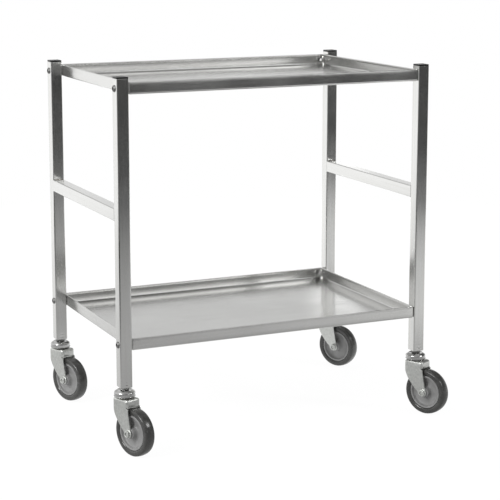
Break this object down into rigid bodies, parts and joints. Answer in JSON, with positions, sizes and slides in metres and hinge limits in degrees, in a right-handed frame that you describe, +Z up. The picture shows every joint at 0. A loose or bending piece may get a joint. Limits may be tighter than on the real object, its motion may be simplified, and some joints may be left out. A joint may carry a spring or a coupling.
{
  "type": "instrument cart",
  "caption": "Instrument cart with two stainless pan trays bolted between square-tube uprights, with side rails and swivel casters.",
  "frame": {"origin": "on the floor, under the middle of the whole cart's box as the casters stand", "axes": "+X to the cart's right, -Y to its front, +Z up; the long sides run along X"},
  "size_m": [0.7443, 0.5175, 0.76],
  "materials": {
    "stainless": "brushed stainless tube, grain along its length",
    "tray_sheet": "brushed stainless sheet, folded",
    "cap_plastic": "black moulded plastic, satin",
    "zinc": "bright zinc-plated pressed steel",
    "bolt_steel": "plain steel fasteners",
    "ball_steel": "polished bearing balls",
    "hub_plastic": "grey moulded polypropylene",
    "tyre_rubber": "dark grey thermoplastic rubber, satin"
  },
  "bodies": {
    "frame": {"post_fl": "stainless", "post_fr": "stainless", "post_bl": "stainless", "post_br": "stainless", "cap_fl": "cap_plastic", "cap_fr": "cap_plastic", "cap_bl": "cap_plastic", "cap_br": "cap_plastic", "rail_left": "stainless", "rail_right": "stainless", "tray_upper": "tray_sheet", "tray_lower": "tray_sheet", "tray_bolts": "bolt_steel", "tray_washers": "bolt_steel", "tray_nuts": "bolt_steel", "insert_fl": "zinc", "insert_fr": "zinc", "insert_bl": "zinc", "insert_br": "zinc", "stem_nuts": "zinc", "kingpin_fl": "zinc", "kingpin_fr": "zinc", "kingpin_bl": "zinc", "kingpin_br": "zinc", "cup_fl": "zinc", "cup_fr": "zinc", "cup_bl": "zinc", "cup_br": "zinc", "balls_fl": "ball_steel", "balls_fr": "ball_steel", "balls_bl": "ball_steel", "balls_br": "ball_steel"},
    "swivel_fl": {"fork_fl": "zinc", "axle_bolt_fl": "bolt_steel", "axle_nut_fl": "bolt_steel", "sleeve_fl": "bolt_steel"},
    "wheel_fl": {"hub_fl": "hub_plastic", "tyre_fl": "tyre_rubber"},
    "swivel_fr": {"fork_fr": "zinc", "axle_bolt_fr": "bolt_steel", "axle_nut_fr": "bolt_steel", "sleeve_fr": "bolt_steel"},
    "wheel_fr": {"hub_fr": "hub_plastic", "tyre_fr": "tyre_rubber"},
    "swivel_bl": {"fork_bl": "zinc", "axle_bolt_bl": "bolt_steel", "axle_nut_bl": "bolt_steel", "sleeve_bl": "bolt_steel"},
    "wheel_bl": {"hub_bl": "hub_plastic", "tyre_bl": "tyre_rubber"},
    "swivel_br": {"fork_br": "zinc", "axle_bolt_br": "bolt_steel", "axle_nut_br": "bolt_steel", "sleeve_br": "bolt_steel"},
    "wheel_br": {"hub_br": "hub_plastic", "tyre_br": "tyre_rubber"}
  },
  "joints": [
    {"name": "turn_fl", "type": "hinge", "parent": "frame", "child": "swivel_fl", "pos_m": [-0.34985, -0.18009, 0.117], "axis": [0, 0, 1], "continuous": true},
    {"name": "roll_fl", "type": "hinge", "parent": "swivel_fl", "child": "wheel_fl", "pos_m": [-0.33924, -0.20922, 0.049], "axis": [0.9397, 0.342, 0], "continuous": true},
    {"name": "turn_fr", "type": "hinge", "parent": "frame", "child": "swivel_fr", "pos_m": [0.32475, -0.18009, 0.117], "axis": [0, 0, 1], "continuous": true},
    {"name": "roll_fr", "type": "hinge", "parent": "swivel_fr", "child": "wheel_fr", "pos_m": [0.33883, -0.20771, 0.049], "axis": [0.891, 0.454, 0], "continuous": true},
    {"name": "turn_bl", "type": "hinge", "parent": "frame", "child": "swivel_bl", "pos_m": [-0.34985, 0.23651, 0.117], "axis": [0, 0, 1], "continuous": true},
    {"name": "roll_bl", "type": "hinge", "parent": "swivel_bl", "child": "wheel_bl", "pos_m": [-0.33823, 0.20777, 0.049], "axis": [0.9272, 0.3746, 0], "continuous": true},
    {"name": "turn_br", "type": "hinge", "parent": "frame", "child": "swivel_br", "pos_m": [0.32475, 0.23651, 0.117], "axis": [0, 0, 1], "continuous": true},
    {"name": "roll_br", "type": "hinge", "parent": "swivel_br", "child": "wheel_br", "pos_m": [0.33978, 0.2094, 0.049], "axis": [0.8746, 0.4848, 0], "continuous": true}
  ]
}
